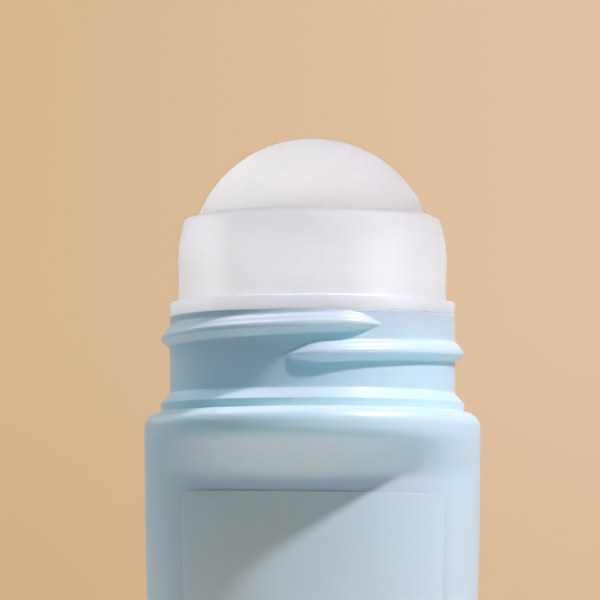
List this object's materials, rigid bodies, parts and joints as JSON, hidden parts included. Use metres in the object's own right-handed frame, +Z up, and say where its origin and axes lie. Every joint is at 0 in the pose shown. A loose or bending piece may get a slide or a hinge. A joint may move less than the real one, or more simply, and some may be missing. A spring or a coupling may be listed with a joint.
{
  "type": "roll on bottle",
  "caption": "Uncapped roll-on bottle: a ball rolls in a housing snapped into a screw neck, above a squarish oval body with a sloping brow and a film label.",
  "frame": {"origin": "middle of the base, on the surface that the bottle stands on", "axes": "+Z up along the bottle's axis, -Y out of the labelled front, +X to the right as the label is read"},
  "size_m": [0.0486, 0.0484, 0.0978],
  "materials": {
    "bottle": "satin, light blue",
    "housing": "satin, milky white",
    "ball": "frosted white",
    "label": "clear film over blue"
  },
  "bodies": {
    "bottle": {"bottle": "bottle", "ball_housing": "housing", "front_label": "label"},
    "ball": {"ball": "ball"}
  },
  "joints": [
    {"name": "ball_roll", "type": "hinge", "parent": "bottle", "child": "ball", "pos_m": [0, 0, 0.08], "axis": [1, 0, 0], "continuous": true}
  ]
}
